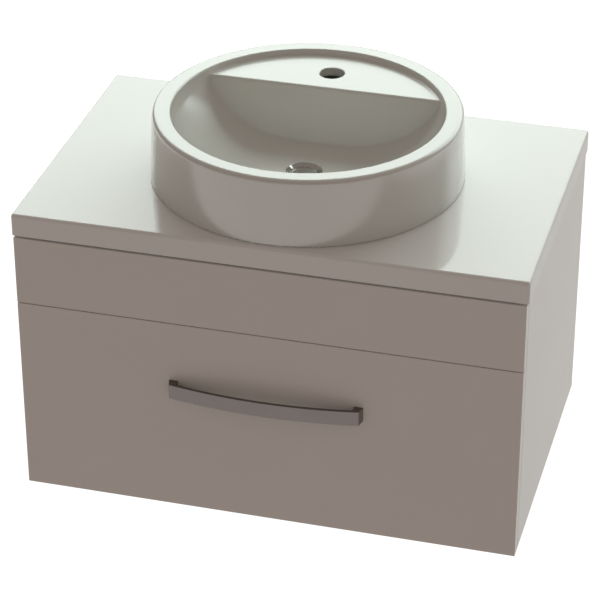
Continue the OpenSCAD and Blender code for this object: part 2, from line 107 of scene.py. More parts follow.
# %% [markdown]
# ## Sums on a finish's values
# A finish in Blender is a tree of nodes, and most of its nodes only add or multiply. Wiring these by hand
# hides the sum, so a small class stands for one value in the tree, and + - * / on it add the node that
# works the sum out: Math for a number, Vector Math for a place or direction, and Mix for a colour, because
# a Math node would turn the colour grey. Any other node comes from `Wire.node`, which takes the node's
# type, its settings and what goes into its sockets.

# %% A value in a finish
class Wire:
    """One value that flows through the finish being made."""

    tree = None

    def __init__(self, socket):
        self.socket = socket

    @classmethod
    def join(cls, value, socket):
        if isinstance(value, Wire):
            cls.tree.links.new(value.socket, socket)
        elif socket.type == "RGBA" and not hasattr(value, "__len__"):
            socket.default_value = (value, value, value, 1)
        elif socket.type == "RGBA":
            socket.default_value = (*value[:3], 1)
        elif socket.type == "VECTOR" and not hasattr(value, "__len__"):
            socket.default_value = (value, value, value)
        else:
            socket.default_value = value

    @classmethod
    def node(cls, kind, settings=None, inputs=None, out=0):
        made = cls.tree.nodes.new("ShaderNode" + kind)
        for name, value in (settings or {}).items():
            if name == "stops":
                ramp = made.color_ramp
                while len(ramp.elements) < len(value):
                    ramp.elements.new(0.5)
                for element, (place, shade) in zip(ramp.elements, value):
                    element.position = place
                    element.color = (shade, shade, shade, 1)
            else:
                setattr(made, name, value)
        for name, value in (inputs or {}).items():
            cls.join(value, made.inputs[name])
        return cls(made.outputs[out])

    @classmethod
    def work(cls, operation, a, b):
        kinds = {v.socket.type for v in (a, b) if isinstance(v, Wire)}
        if "RGBA" in kinds:
            return cls.node("Mix", {"data_type": "RGBA", "blend_type": operation}, {0: 1, 6: a, 7: b}, 2)
        if "VECTOR" in kinds:
            return cls.node("VectorMath", {"operation": operation}, {0: a, 1: b})
        return cls.node("Math", {"operation": operation}, {0: a, 1: b})

    def __add__(self, other):
        return Wire.work("ADD", self, other)

    def __radd__(self, other):
        return Wire.work("ADD", other, self)

    def __sub__(self, other):
        return Wire.work("SUBTRACT", self, other)

    def __rsub__(self, other):
        return Wire.work("SUBTRACT", other, self)

    def __mul__(self, other):
        return Wire.work("MULTIPLY", self, other)

    def __rmul__(self, other):
        return Wire.work("MULTIPLY", other, self)

    def __truediv__(self, other):
        return Wire.work("DIVIDE", self, other)

    def __rtruediv__(self, other):
        return Wire.work("DIVIDE", other, self)


print("a Wire adds, subtracts, multiplies and divides")

# %% [markdown]
# ## Patterns that most finishes share
# Every pattern is placed by the object's own coordinates, which are metres in the cabinet's frame. A
# noise is then asked for by the real size of its blotches, so orange peel is 2 mm on any piece. `ramp`
# turns a noise into a mask, and `bump` turns a height into the way the surface leans.

# %% Shared patterns
def place():
    return Wire.node("TexCoord", out="Object")


def noise(size, detail=2.0, rough=0.5, where=None):
    at = place() if where is None else where
    return Wire.node("TexNoise", None,
                     {"Vector": at, "Scale": 1 / size, "Detail": detail, "Roughness": rough})


def ramp(value, *stops):
    return Wire.node("ValToRGB", {"stops": stops}, {"Fac": value})


def bump(height, depth, strength=1.0):
    return Wire.node("Bump", None, {"Height": height, "Distance": depth, "Strength": strength})


def shade(colour, amount, mask):
    """The colour, made lighter or darker by up to half the amount where the mask is far from its middle."""
    return Wire.node("Mix", {"data_type": "RGBA", "blend_type": "MULTIPLY"},
                     {0: 1, 6: colour, 7: 1 - amount / 2 + mask * amount}, 2)


finishes = {}


def make_finish(slot, look):
    """Makes a slot's material. look() gives the inputs of its shader."""
    material = bpy.data.materials.new(slot)
    material.use_nodes = True
    Wire.tree = material.node_tree
    shader = material.node_tree.nodes["Principled BSDF"]
    for name, value in look().items():
        Wire.join(value, shader.inputs[name])
    finishes[slot] = material
    print(slot, "has", len(material.node_tree.nodes), "nodes")


# %% [markdown]
# ## Lacquered fronts and sides
# The fronts and side panels are fibreboard sprayed with white lacquer and buffed. Sprayed lacquer isn't
# flat: it keeps a fine ripple about 2 mm long, called orange peel, which makes reflections a little soft.
# Polishing leaves broad patches that are slightly duller. The gloss is soft and weak, so the front shows
# no sharp reflection of the handle, and the side panel mirrors the pale floor as a smooth wash.

# %% White gloss lacquer
def lacquer():
    patches = noise(0.09, 3)
    peel = noise(0.0022, 2)
    return {
        "Base Color": shade((0.86, 0.85, 0.83), 0.03, patches),
        "Roughness": 0.3 + patches * 0.08,
        "Specular IOR Level": 0.13,
        "Normal": bump(peel, 0.00002, 0.5),
    }


make_finish("gloss_lacquer", lacquer)

# %% [markdown]
# ## Worktop
# The worktop's top is the shiniest flat face: the basin stands in it as in a dark mirror. Its edges are
# lacquered like the cabinet, so they are duller. The way a face points tells the two apart, and the hard
# clear coat only lies where it points up. The top also has a very long and shallow waviness from pressing,
# and long streaks from wiping that only change how sharp the reflection is.

# %% White gloss worktop
def worktop_gloss():
    waves = noise(0.12, 1)
    wipes = noise(1.0, 3, 0.6, place() * (5, 60, 5))
    facing = Wire.node("TexCoord", out="Normal")
    up = ramp(Wire.node("SeparateXYZ", None, {"Vector": facing}, "Z"), (0.2, 0.0), (0.75, 1.0))
    return {
        "Base Color": shade((0.9, 0.91, 0.9), 0.02, noise(0.15, 2)),
        "Roughness": 0.34 - up * 0.26 + wipes * 0.05,
        "Specular IOR Level": 0.25,
        "Coat Weight": up * 0.9,
        "Coat Roughness": 0.04,
        "Normal": bump(waves, 0.0004, 0.25),
    }


make_finish("gloss_worktop", worktop_gloss)

# %% [markdown]
# ## Glaze
# Vitreous china is dipped in a thick white glaze. It flows before it sets, so it pools in hollows and has
# a slow waviness of about 25 mm. Tiny pits stay where bubbles burst. The colour is a soft white, slightly
# uneven where the glaze is thicker, and the glassy skin on it is a clear coat that blurs what it mirrors.

# %% White glaze over china
def glaze():
    pool = noise(0.05, 2)
    pits = Wire.node("TexVoronoi", None, {"Vector": place(), "Scale": 1 / 0.018})
    pit = ramp(pits, (0.0, 0.0), (0.022, 1.0))
    waves = bump(noise(0.026, 1), 0.00025, 0.35)
    return {
        "Base Color": shade((0.75, 0.765, 0.73), 0.025, pool),
        "Roughness": 0.2 + pool * 0.06,
        "Coat Weight": 1.0,
        "Coat Roughness": 0.2,
        "Coat IOR": 1.6,
        "Normal": Wire.node("Bump", None,
                            {"Height": pit, "Distance": 0.00008, "Strength": 0.3, "Normal": waves}),
    }


make_finish("white_glaze", glaze)

# %% [markdown]
# ## Board faces
# The hidden boards are chipboard faced with white melamine. Its press plate leaves a fine pearl texture,
# which scatters light, so these boards look matt beside the lacquer. The drawer's bottom is a thin
# fibreboard with a printed white face, and its fibres show faintly.

# %% Melamine and thin fibreboard
def melamine():
    pearl = noise(0.0009, 3, 0.6)
    cloud = noise(0.05, 3)
    return {
        "Base Color": shade((0.85, 0.85, 0.84), 0.04, cloud),
        "Roughness": 0.38 + pearl * 0.16,
        "Normal": bump(pearl, 0.00005, 0.5),
    }


def thin_face():
    fibre = noise(1.0, 4, 0.65, place() * (240, 900, 500))
    return {
        "Base Color": shade((0.83, 0.83, 0.82), 0.07, fibre),
        "Roughness": 0.45 + fibre * 0.15,
        "Normal": bump(fibre, 0.00004, 0.5),
    }


make_finish("white_board", melamine)
make_finish("thin_board", thin_face)

# %% [markdown]
# ## Metals
# Five metals are in the object. The handle is satin steel, rubbed along its length, so its scratches are
# long in X and very narrow. The waste and the trap are chrome: nearly a mirror, with faint smears that
# only change the roughness. Brackets, runners and screws are zinc-plated, which shows crystals of
# slightly different greys. Cast zinc is dull and grainy, and brass is turned and slightly tarnished.

# %% Satin steel
def satin_steel():
    rubbed = noise(1.0, 4, 0.7, place() * (14, 2600, 2600))
    worn = noise(0.03, 2)
    return {
        "Base Color": shade((0.226, 0.196, 0.185), 0.22, rubbed),
        "Metallic": 1.0,
        "Roughness": 0.5 + rubbed * 0.12 + worn * 0.05,
        "Normal": bump(rubbed, 0.00003, 0.4),
    }


make_finish("satin_steel", satin_steel)

# %% Chrome
def chrome():
    smear = ramp(noise(0.02, 5, 0.6), (0.45, 0.0), (0.75, 1.0))
    film = noise(0.008, 3)
    return {
        "Base Color": shade((0.58, 0.58, 0.57), 0.05, film),
        "Metallic": 1.0,
        "Roughness": 0.14 + smear * 0.12,
        "Normal": bump(noise(0.004, 1), 0.00001, 0.3),
    }


make_finish("chrome_plate", chrome)

# %% Zinc plate, cast zinc and brass
def zinc_plate():
    crystal = Wire.node("TexVoronoi", None, {"Vector": place(), "Scale": 1 / 0.004}, "Color")
    grey = Wire.node("SeparateColor", None, {"Color": crystal}, "Red")
    scratch = noise(1.0, 3, 0.6, place() * (900, 40, 900))
    return {
        "Base Color": shade((0.66, 0.67, 0.68), 0.16, grey),
        "Metallic": 1.0,
        "Roughness": 0.26 + grey * 0.10 + scratch * 0.08,
        "Normal": bump(scratch, 0.00001, 0.4),
    }


def zinc_casting():
    grain = noise(0.0007, 3)
    stain = noise(0.006, 3)
    return {
        "Base Color": shade((0.6, 0.6, 0.6), 0.25, stain),
        "Metallic": 1.0,
        "Roughness": 0.42 + grain * 0.2,
        "Normal": bump(grain, 0.00005, 0.6),
    }


def brass():
    turned = noise(1.0, 3, 0.6, place() * (30, 30, 3000))
    tarnish = ramp(noise(0.012, 4), (0.4, 0.0), (0.7, 1.0))
    return {
        "Base Color": shade((0.72, 0.58, 0.3), 0.3, turned * 0.5 + tarnish * 0.5),
        "Metallic": 1.0,
        "Roughness": 0.24 + tarnish * 0.2,
        "Normal": bump(turned, 0.00002, 0.4),
    }


make_finish("zinc_steel", zinc_plate)
make_finish("zinc_cast", zinc_casting)
make_finish("brass_nut", brass)

# %% [markdown]
# ## Rubber, sealant, bumpers and beech
# The small soft pieces need little, but none of them is one flat colour: rubber carries a pale bloom and
# a fine grain, sealant has finger ripples, the bumpers are clear and faintly clouded, and the beech
# dowels show short brown flecks along their length.

# %% Soft pieces and dowels
def rubber():
    bloom = noise(0.006, 4)
    grain = noise(0.0005, 2)
    return {
        "Base Color": shade((0.05, 0.05, 0.05), 0.5, bloom),
        "Roughness": 0.6 + bloom * 0.25,
        "Normal": bump(grain, 0.00005, 0.6),
    }


def sealant():
    ripple = noise(0.007, 2)
    return {
        "Base Color": shade((0.8, 0.8, 0.79), 0.06, ripple),
        "Roughness": 0.3 + ripple * 0.2,
        "Normal": bump(ripple, 0.0002, 0.4),
    }


def bumper():
    cloud = noise(0.002, 2)
    return {
        "Base Color": shade((0.8, 0.8, 0.78), 0.1, cloud),
        "Roughness": 0.25 + cloud * 0.15,
        "Alpha": 0.75,
    }


def beech():
    fleck = ramp(noise(1.0, 3, 0.6, place() * (160, 1500, 1500)), (0.52, 0.0), (0.62, 1.0))
    rings = noise(1.0, 2, 0.5, place() * (12, 420, 420))
    tone = fleck * 0.5 + rings * 0.5
    return {
        "Base Color": shade((0.72, 0.55, 0.36), 0.35, tone),
        "Roughness": 0.5 + rings * 0.15,
        "Normal": bump(tone, 0.0001, 0.5),
    }


make_finish("black_rubber", rubber)
make_finish("silicone", sealant)
make_finish("clear_bumper", bumper)
make_finish("beech", beech)

# %% [markdown]
# ## Dress the frame
# Most pieces of the frame already have their true shape: the boards with their bores and grooves, the
# folded runners and brackets, and the trap's pipes. They stay, and each takes the finish of its slot. The
# pieces that need a softer or finer shape are then built one by one, and each stands in for its plain one.

# %% A finish for every piece of the frame
for name, node in frame["nodes"].items():
    node.data.materials.clear()
    node.data.materials.append(finishes[slot_of[name]])


def stand_in(name, mesh, *nodes):
    """An object for the mesh that takes the place, the body and the finish of these pieces."""
    piece = bpy.data.objects.new(name, mesh)
    bpy.context.scene.collection.objects.link(piece)
    mesh.materials.clear()
    mesh.materials.append(finishes[slot_of[nodes[0]]])
    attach(piece, frame["nodes"][nodes[0]]["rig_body"])
    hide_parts(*nodes)
    print(name, "stands for", *nodes, "with", len(mesh.polygons), "faces")
    return piece


def finished_mesh(name, shape, angle=40):
    """A mesh from a bmesh, smooth except across edges that turn by more than the angle."""
    bmesh.ops.recalc_face_normals(shape, faces=shape.faces)
    for face in shape.faces:
        face.smooth = True
    for edge in shape.edges:
        if edge.is_manifold and edge.calc_face_angle() > math.radians(angle):
            edge.smooth = False
    mesh = bpy.data.meshes.new(name)
    shape.to_mesh(mesh)
    shape.free()
    return mesh


print("dressed", len(frame["nodes"]), "pieces")

# %% [markdown]
# ## Boards with eased edges
# A lacquered edge is sanded before spraying, so its corner is about half a millimetre round. That small
# rounding is what catches the light along the top of the drawer front, and a sharp corner would look like
# paper. A box with all its edges bevelled gives it, and weighted normals keep the broad faces flat in the
# reflection.

# %% Eased boards
def ease(shape, radius, steps=4):
    bmesh.ops.bevel(shape, geom=list(shape.edges), offset=radius, segments=steps, profile=0.5,
                    affect="EDGES", clamp_overlap=True)


def box_shape(low, high):
    low, high = Vector(low), Vector(high)
    shape = bmesh.new()
    bmesh.ops.create_cube(shape, size=1)
    bmesh.ops.scale(shape, vec=high - low, verts=shape.verts)
    bmesh.ops.translate(shape, vec=(low + high) / 2, verts=shape.verts)
    return shape


def keep_flat(piece):
    weigh = piece.modifiers.new("flat faces", "WEIGHTED_NORMAL")
    weigh.keep_sharp = True
    weigh.weight = 100


def eased_board(node, radius):
    shape = box_shape(*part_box(node))
    ease(shape, radius)
    piece = stand_in(node + "_eased", finished_mesh(node, shape, 60), node)
    keep_flat(piece)
    return piece


eased_board("fascia", 0.5 * MM)
eased_board("drawer_front", 0.5 * MM)
eased_board("side_left", 0.5 * MM)
eased_board("side_right", 0.5 * MM)

# %% [markdown]
# ## Worktop
# The worktop's top edge is a soft quarter round of 4.5 mm, while its lower edge is nearly sharp, so one
# bevel for all edges won't do. Its outline is drawn once for each height of that edge, a little further in
# each time, and the outlines are joined. Under the basin there are two round openings: one for the waste
# and one for the tap's hoses. Cutting them with a Boolean keeps the top face one clean plane. They are
# hidden from above, but they show when the cabinet is looked at from below or from behind.

# %% Worktop with its openings
def cutter(centre, radius, low, high, sides=64):
    """A round drill that cuts from low to high."""
    shape = bmesh.new()
    bmesh.ops.create_cone(shape, cap_ends=True, segments=sides, radius1=radius, radius2=radius,
                          depth=high - low)
    bmesh.ops.translate(shape, vec=(centre[0], centre[1], (low + high) / 2), verts=shape.verts)
    return finished_mesh("cutter", shape)


def cut_away(piece, *meshes):
    """Cuts the meshes out of the piece and keeps the result as its own mesh."""
    for mesh in meshes:
        tool = bpy.data.objects.new("tool", mesh)
        bpy.context.scene.collection.objects.link(tool)
        cut = piece.modifiers.new("cut", "BOOLEAN")
        cut.operation, cut.solver, cut.object = "DIFFERENCE", "EXACT", tool
        whole = bpy.data.meshes.new_from_object(piece.evaluated_get(bpy.context.evaluated_depsgraph_get()))
        piece.modifiers.clear()
        piece.data = whole
        bpy.data.objects.remove(tool)
    return piece


def middle(node):
    low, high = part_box(node)
    return (low + high) / 2


worktop_low, worktop_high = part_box("worktop")
drain = middle("waste_body")
tap_mount = next(m for m in frame["record"]["mounts"] if m["name"] == "tap_hole")
tap = Vector(tap_mount["pos_m"])


def slab(low, high, top_edge, low_edge, steps=7):
    """A board with round upright corners, a round top edge and a smaller rounding below."""
    corner = top_edge + 0.1 * MM
    quarter = np.linspace(0, math.pi / 2, steps)
    levels = [(low_edge * (1 - math.sin(t)), low.z + low_edge * (1 - math.cos(t))) for t in quarter[::3]]
    levels += [(top_edge * (1 - math.cos(t)), high.z - top_edge * (1 - math.sin(t))) for t in quarter]
    shape, rings = bmesh.new(), []
    for inset, z in levels:
        ring = []
        for n, (x, y) in enumerate(((high.x, high.y), (low.x, high.y), (low.x, low.y), (high.x, low.y))):
            centre_x = x - math.copysign(corner, x)
            centre_y = y - corner if y == high.y else y + corner
            for t in quarter + n * math.pi / 2:
                ring.append(shape.verts.new((centre_x + (corner - inset) * math.cos(t),
                                             centre_y + (corner - inset) * math.sin(t), z)))
        rings.append(ring)
    for ring, above in zip(rings, rings[1:]):
        for k in range(len(ring)):
            shape.faces.new((ring[k - 1], ring[k], above[k], above[k - 1]))
    shape.faces.new(rings[0])
    shape.faces.new(rings[-1])
    return shape


waste_hole_r, hose_hole_r = 27 * MM, 24 * MM
below, above = worktop_low.z - 10 * MM, worktop_high.z + 18 * MM
shape = slab(worktop_low, worktop_high, 4.5 * MM, 0.8 * MM)
blank = bpy.data.objects.new("blank", finished_mesh("worktop", shape, 60))
bpy.context.scene.collection.objects.link(blank)
cut_away(blank, cutter(drain, waste_hole_r, below, above), cutter(tap, hose_hole_r, below, above))
keep_flat(stand_in("worktop_eased", blank.data, "worktop"))
bpy.data.objects.remove(blank)

# %% [markdown]
# ## The basin
# The basin is one casting: a slightly tapered round wall with a flat rim, a bowl whose floor curves up to
# the wall, and a ledge for the tap at the back. In ceramic no edge is sharp, because the glaze draws back
# from corners and fills hollows. Rounding such a shape with bevels fails where the ledge runs out into
# the bowl at a thin angle.
#
# So the shape is written as a distance: a sum that says how far any point is from the surface. Joining
# two walls with `round_max` gives a corner of an exact radius. The plain basin is remeshed into small even
# faces, and each point is then moved along the slope of that distance until it lies on the surface.

# %% The basin as a distance
basin_low, basin_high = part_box("basin")
basin_at = np.array([(basin_low.x + basin_high.x) / 2, (basin_low.y + basin_high.y) / 2, basin_low.z])
basin_h = basin_high.z - basin_low.z
foot_r = (basin_high.x - basin_low.x) / 2
rim_r, bowl_r, wall_t, floor_t, flat_r = 0.212, 0.188, 0.011, 0.011, 0.060
ledge_z, ledge_y, ledge_lean, arc_top = 0.0875, 0.082, 0.25, 0.0885
outer_edge, inner_edge, ledge_edge, hole_edge, seat_edge = 0.006, 0.003, 0.003, 0.0004, 0.0007
wall_join, ledge_join = 0.008, 0.002
hollow_r, hollow_top = 0.090, 0.0745
tap_r, seat_r, seat_depth, drain_r = 0.0175, 0.0243, 0.0065, 0.022
arc_r = ((bowl_r - flat_r) ** 2 + (arc_top - floor_t) ** 2) / (2 * (arc_top - floor_t))


def round_max(a, b, radius):
    """The larger of two distances, with a rounding of this radius where they meet."""
    inner = np.minimum(np.maximum(a, b), -radius)
    return inner + np.hypot(np.maximum(a + radius, 0), np.maximum(b + radius, 0))


def basin_distance(p):
    """How far the points are outside the china. Inside it, the distance is negative."""
    x, y, z = p[:, 0], p[:, 1], p[:, 2]
    r = np.hypot(x, y)
    wall = r - (foot_r - (foot_r - rim_r) * z / basin_h)
    outside = np.maximum(round_max(wall, z - basin_h, outer_edge), -z)
    arc = np.hypot(r - flat_r, z - floor_t - arc_r) - arc_r
    bowl = round_max(np.where(r > flat_r, arc, floor_t - z), r - bowl_r, wall_join)
    before = (y - ledge_y + ledge_lean * (ledge_z - z)) / math.hypot(1, ledge_lean)
    space = round_max(bowl, -round_max(z - ledge_z, -before, ledge_edge), ledge_join)
    solid = round_max(outside, -space, inner_edge)
    hollow = np.maximum.reduce([wall_t - space, wall + wall_t, hollow_r - r, z - hollow_top])
    solid = np.maximum(solid, -hollow)
    tap_hole = np.hypot(x - tap.x, y + basin_at[1] - tap.y) - tap_r
    solid = round_max(solid, -tap_hole, hole_edge)
    from_drain = np.hypot(x - drain.x, y + basin_at[1] - drain.y)
    seat = np.maximum(from_drain - seat_r, floor_t - seat_depth - z)
    return round_max(solid, -np.minimum(seat, from_drain - drain_r), seat_edge)


def slope(distance, p, reach=0.00002):
    """How fast the distance grows along each axis."""
    sides = []
    for axis in np.eye(3) * reach:
        sides.append((distance(p + axis) - distance(p - axis)) / (2 * reach))
    return np.stack(sides, 1)


print("basin", round(basin_h * 1000), "mm high,", round(foot_r * 2000), "mm across")

# %% Remesh, project and smooth the basin
def even_skin(node, size):
    """The node's mesh, remade as small even faces."""
    copy = bpy.data.objects.new("copy", frame["nodes"][node].data.copy())
    bpy.context.scene.collection.objects.link(copy)
    grid = copy.modifiers.new("grid", "REMESH")
    grid.mode, grid.voxel_size = "VOXEL", size
    mesh = bpy.data.meshes.new_from_object(copy.evaluated_get(bpy.context.evaluated_depsgraph_get()))
    bpy.data.objects.remove(copy)
    return mesh


basin_mesh = even_skin("basin", 0.0021)
points = np.zeros(len(basin_mesh.vertices) * 3, np.float32)
basin_mesh.vertices.foreach_get("co", points)
points = points.reshape(-1, 3).astype(float) - basin_at
for turn in range(5):
    lean = slope(basin_distance, points)
    steep = np.maximum((lean ** 2).sum(1), 0.2)
    step = np.clip(basin_distance(points) / steep, -0.002, 0.002)
    points -= lean * step[:, None]
print("farthest point from the surface, mm:", round(float(np.abs(basin_distance(points)).max()) * 1000, 3))
basin_mesh.vertices.foreach_set("co", (points + basin_at).astype(np.float32).ravel())
basin_mesh.shade_smooth()
lean = slope(basin_distance, points)
lean /= np.maximum(np.linalg.norm(lean, axis=1), 0.000001)[:, None]
basin_mesh.normals_split_custom_set_from_vertices([tuple(n) for n in lean])
stand_in("basin_glazed", basin_mesh, "basin")

# %% [markdown]
# ## Turned pieces
# Wastes, nuts, caps and seals are turned on a lathe, so each is a profile swept around an axis. The
# profile is a closed loop of radius and height. To cut grip ribs, flats or a thread into it, the radius
# may change as the sweep turns, which one `groove` function of angle and height gives.

# %% A lathe
def turned(profile, centre, sides=96, axis="Z", groove=None):
    """The closed profile of (radius, height) swept around the axis through centre."""
    shape = bmesh.new()
    turn = {"Z": Matrix.Identity(4), "Y": Matrix.Rotation(-math.pi / 2, 4, "X")}[axis]
    turn = Matrix.Translation(centre) @ turn
    rings = []
    for r, h in profile:
        if r <= 0:
            rings.append([shape.verts.new(turn @ Vector((0, 0, h)))] * sides)
            continue
        ring = []
        for k in range(sides):
            angle = 2 * math.pi * k / sides
            cut = groove(angle, r, h) if groove else r
            ring.append(shape.verts.new(turn @ Vector((cut * math.cos(angle), cut * math.sin(angle), h))))
        rings.append(ring)
    for ring, above in zip(rings, rings[1:] + rings[:1]):
        for k in range(sides):
            corners = [ring[k], ring[k - 1], above[k - 1], above[k]]
            corners = [v for n, v in enumerate(corners) if v not in corners[:n]]
            if len(corners) > 2:
                shape.faces.new(corners)
    return shape


def rounded(corners, radius, steps=3):
    """The closed loop of corners, with every corner rounded by the radius where there is room."""
    made = []
    for n, corner in enumerate(corners):
        here = Vector(corner)
        back, on = Vector(corners[n - 1]) - here, Vector(corners[(n + 1) % len(corners)]) - here
        if here.x <= 0 or back.length == 0 or on.length == 0:
            made.append(tuple(here))
            continue
        reach = min(radius, back.length * 0.45, on.length * 0.45)
        start, end = here + back.normalized() * reach, here + on.normalized() * reach
        for k in range(steps + 1):
            t = k / steps
            made.append(tuple(start * (1 - t) ** 2 + here * 2 * t * (1 - t) + end * t ** 2))
    return made


def reach_of(node, axis="Z"):
    """Inner radius, outer radius, low end and high end of a turned piece around its own axis."""
    keep = {"Z": (0, 1, 2), "Y": (0, 2, 1)}[axis]
    co = np.array([v.co for v in frame["nodes"][node].data.vertices])
    mid = np.array(middle(node))
    r = np.hypot(co[:, keep[0]] - mid[keep[0]], co[:, keep[1]] - mid[keep[1]])
    return r.min(), r.max(), co[:, keep[2]].min(), co[:, keep[2]].max()


def soft_ring(node, edge, swell=0.0):
    """A seal or washer, its edges rounded, squeezed out by the swell."""
    inner, outer, low, high = reach_of(node)
    outer += swell
    mid = middle(node)
    loop = rounded([(inner, low), (outer, low), (outer, high), (inner, high)], edge)
    shape = turned(loop, (mid.x, mid.y, 0))
    return stand_in(node + "_soft", finished_mesh(node, shape), node)


soft_ring("basin_seal", 0.4 * MM, 1.8 * MM)
soft_ring("waste_seal", 0.3 * MM)
soft_ring("waste_washer", 0.8 * MM)
soft_ring("trap_inlet_seal", 0.5 * MM)
soft_ring("plug_seal", 0.5 * MM)

# %% [markdown]
# ## Waste and plug
# The waste is a chromed brass tube with a flange that sits in the basin's floor. Its tail carries the
# thread that the big nut and the trap screw onto. Inside, three arms hold a small guide for the plug's
# stem. The thread is a saw-shaped groove whose height moves on by one pitch for each turn.

# %% Waste body with its thread
throat_r, tail_r, flange_r = 17.9 * MM, 20.9 * MM, 24 * MM
waste_low, waste_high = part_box("waste_body")
flange_z = waste_high.z - 5.6 * MM
pitch = 2.3 * MM


def tail_thread(angle, r, h):
    """The saw-shaped groove of the tail's thread. The flange and the bore stay plain."""
    if r < tail_r - 0.1 * MM or h > flange_z - 6 * MM or h < waste_low.z + 0.5 * MM:
        return r
    along = (h / pitch - angle / (2 * math.pi)) % 1
    return r - 1.1 * MM * min(1, abs(along * 2 - 1) * 1.4)


tail = [(tail_r, z) for z in np.arange(waste_low.z + 1 * MM, flange_z - 1 * MM, pitch / 8)]
lip = rounded([(flange_r, flange_z), (flange_r, waste_high.z), (flange_r - 1 * MM, waste_high.z),
               (throat_r, flange_z + 1 * MM), (throat_r, waste_low.z), (tail_r, waste_low.z),
               (tail_r, flange_z)], 0.7 * MM)
lip_end = next(n for n, (r, z) in enumerate(lip) if r > tail_r - 0.3 * MM and z < waste_low.z + 1 * MM)
profile = (lip[:lip_end + 4] + tail + [(tail_r, flange_z - 0.2 * MM)])[::-1]
waste = turned(profile, (drain.x, drain.y, 0), 96, groove=tail_thread)
guide_in, guide_out, guide_low = 3.05 * MM, 6 * MM, waste_high.z - 40 * MM
guide_high = guide_low + 6 * MM
for turn in (90, 210, 330):
    arm = box_shape((guide_out - 1.5 * MM, -1 * MM, guide_low), (throat_r + 0.8 * MM, 1 * MM, guide_high))
    ease(arm, 0.3 * MM, 2)
    place_arm = Matrix.Translation((drain.x, drain.y, 0)) @ Matrix.Rotation(math.radians(turn), 4, "Z")
    bmesh.ops.transform(arm, matrix=place_arm, verts=arm.verts)
    waste.from_mesh(finished_mesh("arm", arm))
guide_loop = [(guide_in, guide_low), (guide_out, guide_low), (guide_out, guide_high), (guide_in, guide_high)]
guide = turned(rounded(guide_loop, 0.5 * MM), (drain.x, drain.y, 0), 48)
waste.from_mesh(finished_mesh("guide", guide))
stand_in("waste_threaded", finished_mesh("waste", waste, 50), "waste_body")

# %% Plug cap and the nut under the worktop
_, cap_r, cap_low, cap_high = reach_of("plug_cap")
dome_h = 1.2 * MM
dome = [(cap_r * math.sin(t), cap_high - dome_h + dome_h * math.cos(t)) for t in np.linspace(1.45, 0, 10)]
cap_loop = [(0, cap_low), (cap_r - 0.5 * MM, cap_low), (cap_r, cap_low + 0.5 * MM),
            (cap_r, cap_high - 1.5 * MM)] + dome[1:-1] + [(0, cap_high)]
stand_in("plug_cap_domed", finished_mesh("plug_cap", turned(cap_loop, (drain.x, drain.y, 0))), "plug_cap")


def hexagon(across, low, high):
    """Grooves a round blank into a six-sided nut with chamfered corners."""
    def cut(angle, r, h):
        if r < across * 0.8:
            return r
        flat = across * math.cos(math.pi / 6) / math.cos((angle % (math.pi / 3)) - math.pi / 6)
        chamfer = across * 0.985 - max(0, 1.4 * MM - min(h - low, high - h)) * 1.8
        return min(flat, chamfer)
    return cut


nut_in, nut_out, nut_low, nut_high = reach_of("waste_nut")
heights = [nut_low + (nut_high - nut_low) * t for t in (0, 0.05, 0.1, 0.14, 0.5, 0.86, 0.9, 0.95, 1)]
nut_loop = [(nut_in, nut_low)] + [(nut_out, h) for h in heights] + [(nut_in, nut_high)]
nut = turned(nut_loop, (drain.x, drain.y, 0), 180, groove=hexagon(nut_out, nut_low, nut_high))
stand_in("waste_nut_hexagon", finished_mesh("waste_nut", nut, 35), "waste_nut")

# %% [markdown]
# ## Trap nuts, cup and rosette
# The trap's nuts are tightened by hand, so they have rows of grip ribs between two plain bands. The cup
# unscrews to be emptied, and it has the same ribs around its top. The rosette covers the hole in the wall
# with a soft bell shape. All of them keep the outer size of the plain pieces that they stand for.

# %% Grip ribs
def ribs(count, depth, low, high, outer):
    def cut(angle, r, h):
        if r < outer - 2.2 * MM or not low < h < high:
            return r
        fade = min(1, (h - low) / (1.2 * MM), (high - h) / (1.2 * MM))
        return r - depth * fade * (0.5 + 0.5 * math.cos(count * angle)) ** 2
    return cut


def ribbed_nut(node, axis="Z", count=28):
    inner, outer, low, high = reach_of(node, axis)
    mid = middle(node)
    centre = (mid.x, mid.y, 0) if axis == "Z" else (mid.x, 0, mid.z)
    bands = [low + 1.2 * MM + (high - low - 2.4 * MM) * t for t in np.linspace(0.1, 0.9, 9)]
    loop = [(inner, low), (outer - 1 * MM, low), (outer, low + 1 * MM)] + [(outer, h) for h in bands] + [
        (outer, high - 1 * MM), (outer - 1 * MM, high), (inner, high)]
    grip = ribs(count, 1.1 * MM, low + 2 * MM, high - 2 * MM, outer)
    shape = turned(loop, centre, 224, axis, grip)
    return stand_in(node + "_ribbed", finished_mesh(node, shape), node)


ribbed_nut("trap_inlet_nut")
ribbed_nut("trap_collar_nut")
ribbed_nut("trap_outlet_nut", "Y")

# %% Trap cup
_, cup_r, cup_low, cup_high = reach_of("trap_cup")
bend, thread_r, bore_r = 10 * MM, 30.05 * MM, 27.05 * MM
thread_low, cup_floor = cup_high - 10 * MM, cup_low + 5 * MM
underside = [(cup_r - bend + bend * math.sin(t), cup_low + bend - bend * math.cos(t))
             for t in np.linspace(0, math.pi / 2, 10)]
band = [(cup_r, cup_high - d * MM) for d in (18, 16.8, 15.6, 14, 12, 10, 8, 6, 4.4, 3.2, 2, 1)]
inside = [(cup_r - 1 * MM, cup_high), (thread_r, cup_high), (thread_r, thread_low), (bore_r, thread_low),
          (bore_r, cup_floor + 4 * MM), (23 * MM, cup_floor), (0, cup_floor)]
cup_loop = [(0, cup_low)] + underside + band + inside
grip = ribs(32, 1.2 * MM, cup_high - 17 * MM, cup_high - 3 * MM, cup_r)
cup = turned(cup_loop, (drain.x, drain.y, 0), 256, groove=grip)
